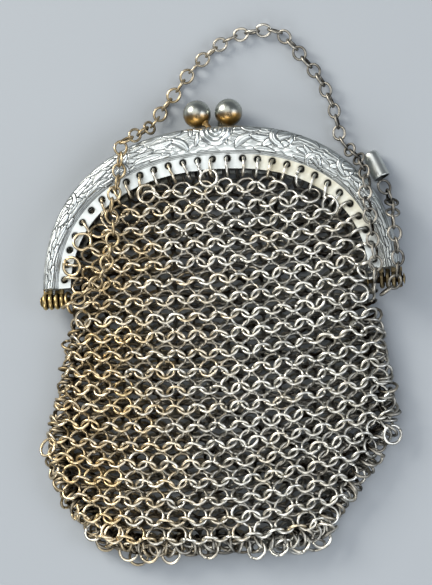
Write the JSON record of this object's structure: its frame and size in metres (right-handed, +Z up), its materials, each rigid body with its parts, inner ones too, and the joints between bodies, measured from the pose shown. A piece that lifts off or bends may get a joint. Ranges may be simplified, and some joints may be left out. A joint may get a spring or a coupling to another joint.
{
  "type": "metal mesh purse",
  "caption": "Coin purse of interlinked metal rings on an arched, embossed kiss-lock frame with two ball knobs and a link chain handle, closed and lying on its back.",
  "frame": {"origin": "under the middle of the whole purse's box, on the surface that it lies on", "axes": "+X to the purse's right seen from the front, +Y from the bag's bottom towards the clasp and the handle, +Z up, out of the front of the purse"},
  "size_m": [0.0802, 0.1164, 0.0131],
  "materials": {
    "frame_silver": "pressed nickel silver, bright with dark engraved lines",
    "knob_silver": "polished nickel silver, dulled",
    "hinge_brass": "worn brass",
    "mail_metal": "drawn nickel silver wire, warm tarnish",
    "chain_metal": "drawn wire, dark tarnish"
  },
  "bodies": {
    "root": {"front_frame": "frame_silver", "back_frame": "frame_silver", "front_knob": "knob_silver", "back_knob": "knob_silver", "left_hinge_pin": "hinge_brass", "right_hinge_pin": "hinge_brass", "left_chain_ring": "hinge_brass", "right_chain_ring": "chain_metal", "mesh_bag": "mail_metal", "handle_chain": "chain_metal", "tail_chain": "chain_metal", "tail_cup": "frame_silver"}
  },
  "joints": []
}
